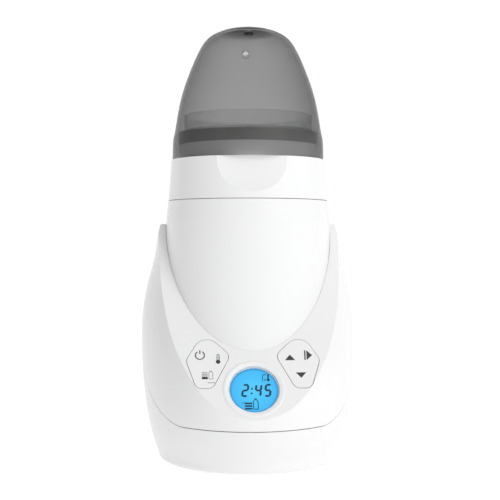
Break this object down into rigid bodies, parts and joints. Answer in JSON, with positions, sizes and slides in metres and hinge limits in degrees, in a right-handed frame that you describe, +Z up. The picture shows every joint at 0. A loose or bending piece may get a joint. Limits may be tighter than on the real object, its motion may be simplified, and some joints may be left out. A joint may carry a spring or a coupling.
{
  "type": "bottle warmer",
  "caption": "Steam bottle warmer with a smoky dome lid, round chamber, shield-shaped front with a round lit display and two keypads, and a lift-out rear water tank.",
  "frame": {"origin": "on the table under the middle of the whole object", "axes": "+Z up along the chamber, front with the display faces -Y, +X to the right seen from the front"},
  "size_m": [0.1426, 0.1686, 0.2888],
  "materials": {
    "white_shell": "smooth glossy moulded plastic",
    "key_white": "smooth satin-gloss keypad",
    "smoke_lid": "clear smoke-tinted plastic, polished",
    "smoke_tank": "clear smoke-tinted plastic, polished",
    "dark_ring": "glossy dark grey plastic",
    "basket_clear": "frosted clear plastic",
    "liner_grey": "fine matte moulded plastic",
    "heater_aluminium": "cast, satin",
    "element_steel": "heat-tinted steel sheath",
    "screw_steel": "zinc-plated",
    "sensor_metal": "plain",
    "brass_tag": "plain",
    "foot_rubber": "matte moulded rubber",
    "seal_silicone": "translucent white silicone",
    "black_plastic": "matte black plastic",
    "grey_plastic": "satin grey plastic",
    "blue_relay": "glossy relay case",
    "board_green": "solder-mask green board",
    "copper_winding": "taped winding",
    "display_window": "clear window",
    "display_blue": "lit blue liquid-crystal panel",
    "light_guide": "milky light guide",
    "wire_sleeve": "glass-fibre sleeving",
    "spring_steel": "bright spring wire"
  },
  "bodies": {
    "warmer": {"backlight": "light_guide", "base_plate": "white_shell", "base_screws": "screw_steel", "board_cable": "black_plastic", "board_screws": "screw_steel", "buzzer": "black_plastic", "capacitors": "black_plastic", "chamber_liner": "liner_grey", "chamber_rim": "dark_ring", "clamp_screws": "screw_steel", "collar_ring": "white_shell", "control_board": "board_green", "cord_gland": "black_plastic", "display_bezel": "key_white", "display_lens": "display_window", "feet": "foot_rubber", "front_cover": "white_shell", "heater_leads": "wire_sleeve", "heater_plate": "heater_aluminium", "heater_support": "grey_plastic", "heating_element": "element_steel", "lcd_panel": "display_blue", "liner_clamp": "sensor_metal", "lower_housing": "white_shell", "main_housing": "white_shell", "plate_gasket": "seal_silicone", "power_board": "board_green", "relay": "blue_relay", "seat_screws": "screw_steel", "switch_bodies": "sensor_metal", "temperature_sensor": "brass_tag", "terminal_block": "grey_plastic", "thermal_fuse": "brass_tag", "thermostat": "sensor_metal", "transformer": "copper_winding", "valve_seat": "grey_plastic", "water_tube": "seal_silicone"},
    "lid": {"dome_lid": "smoke_lid"},
    "basket": {"bottle_basket": "basket_clear"},
    "tank": {"water_tank": "smoke_tank", "tank_cover": "white_shell", "cap_seal": "seal_silicone"},
    "cap": {"tank_cap": "grey_plastic", "valve_spring": "spring_steel"},
    "poppet": {"valve_poppet": "grey_plastic"},
    "left_key": {"left_key": "key_white", "left_plungers": "black_plastic"},
    "right_key": {"right_key": "key_white", "right_plungers": "black_plastic"}
  },
  "joints": [
    {"name": "lid_lift", "type": "slide", "parent": "warmer", "child": "lid", "axis": [0, 0, 1], "range_m": [0, 0.11]},
    {"name": "basket_lift", "type": "slide", "parent": "warmer", "child": "basket", "axis": [0, 0, 1], "range_m": [0, 0.004]},
    {"name": "tank_lift", "type": "slide", "parent": "warmer", "child": "tank", "axis": [0, 0, 1], "range_m": [0, 0.125]},
    {"name": "cap_turn", "type": "hinge", "parent": "tank", "child": "cap", "pos_m": [0, 0.06381, 0.05], "axis": [0, 0, -1], "range_deg": [0, 90]},
    {"name": "valve_open", "type": "slide", "parent": "cap", "child": "poppet", "axis": [0, 0, 1], "range_m": [0, 0.0023], "stiffness_N_per_m": 60, "springref_m": -0.01, "deforming": ["valve_spring"]},
    {"name": "left_key_press", "type": "slide", "parent": "warmer", "child": "left_key", "axis": [0, 0.8277, -0.5612], "range_m": [0, 0.0006], "stiffness_N_per_m": 400, "springref_m": -0.002},
    {"name": "right_key_press", "type": "slide", "parent": "warmer", "child": "right_key", "axis": [0, 0.8277, -0.5612], "range_m": [0, 0.0006], "stiffness_N_per_m": 400, "springref_m": -0.002}
  ]
}
